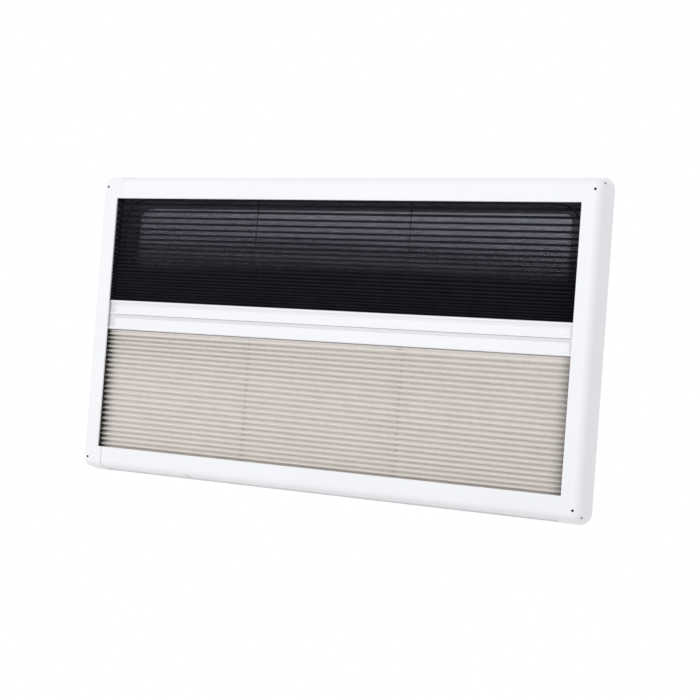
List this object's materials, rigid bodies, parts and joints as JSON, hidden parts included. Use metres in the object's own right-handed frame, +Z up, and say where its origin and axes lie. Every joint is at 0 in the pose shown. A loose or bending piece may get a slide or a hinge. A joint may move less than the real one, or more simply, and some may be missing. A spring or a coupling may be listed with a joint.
{
  "type": "caravan window",
  "caption": "Caravan window for a wall cut-out: white inner frame with a sliding pleated insect screen over a sliding pleated blackout blind, in front of tinted double acrylic glazing.",
  "frame": {"origin": "on the wall's inner face, in the middle of the bottom rail's back", "axes": "+X to the right and +Z up, seen from the room; +Y into the wall, towards the outside"},
  "size_m": [0.936, 0.0789, 0.526],
  "materials": {
    "frame_white": "satin",
    "bar_white": "painted, satin",
    "cap_grey": "matte",
    "guide_black": "matte",
    "screen_mesh": "fine woven mesh",
    "blind_fabric": "pleated, coated cloth",
    "cord": "braided",
    "outer_grey": "fine grain",
    "seal_rubber": "matte",
    "tinted_acrylic": "clear gloss",
    "hinge_black": "anodised"
  },
  "bodies": {
    "window_frame": {"left_stile": "frame_white", "right_stile": "frame_white", "top_rail": "frame_white", "bottom_rail": "frame_white", "left_guide": "guide_black", "right_guide": "guide_black", "screen_head": "guide_black", "blind_foot": "guide_black", "insect_screen": "screen_mesh", "blackout_blind": "blind_fabric", "left_cord": "cord", "right_cord": "cord", "outer_frame": "outer_grey", "sleeve_bead": "seal_rubber", "glazing_seal": "seal_rubber", "outer_pane": "tinted_acrylic", "inner_pane": "tinted_acrylic", "hinge_rail": "hinge_black", "sash_hook": "hinge_black", "hinge_left_cap": "guide_black", "hinge_right_cap": "guide_black", "left_latch_base": "guide_black", "right_latch_base": "guide_black", "left_latch_lever": "cap_grey", "right_latch_lever": "cap_grey", "left_latch_catch": "guide_black", "right_latch_catch": "guide_black"},
    "screen_slider": {"screen_bar": "bar_white", "screen_bar_left_cap": "cap_grey", "screen_bar_right_cap": "cap_grey"},
    "blind_slider": {"blind_bar": "bar_white", "blind_bar_left_cap": "cap_grey", "blind_bar_right_cap": "cap_grey"}
  },
  "joints": [
    {"name": "screen_slide", "type": "slide", "parent": "window_frame", "child": "screen_slider", "axis": [0, 0, 1], "range_m": [0, 0.155], "deforming": ["insect_screen"]},
    {"name": "blind_slide", "type": "slide", "parent": "window_frame", "child": "blind_slider", "axis": [0, 0, -1], "range_m": [0, 0.185], "deforming": ["blackout_blind"]}
  ]
}
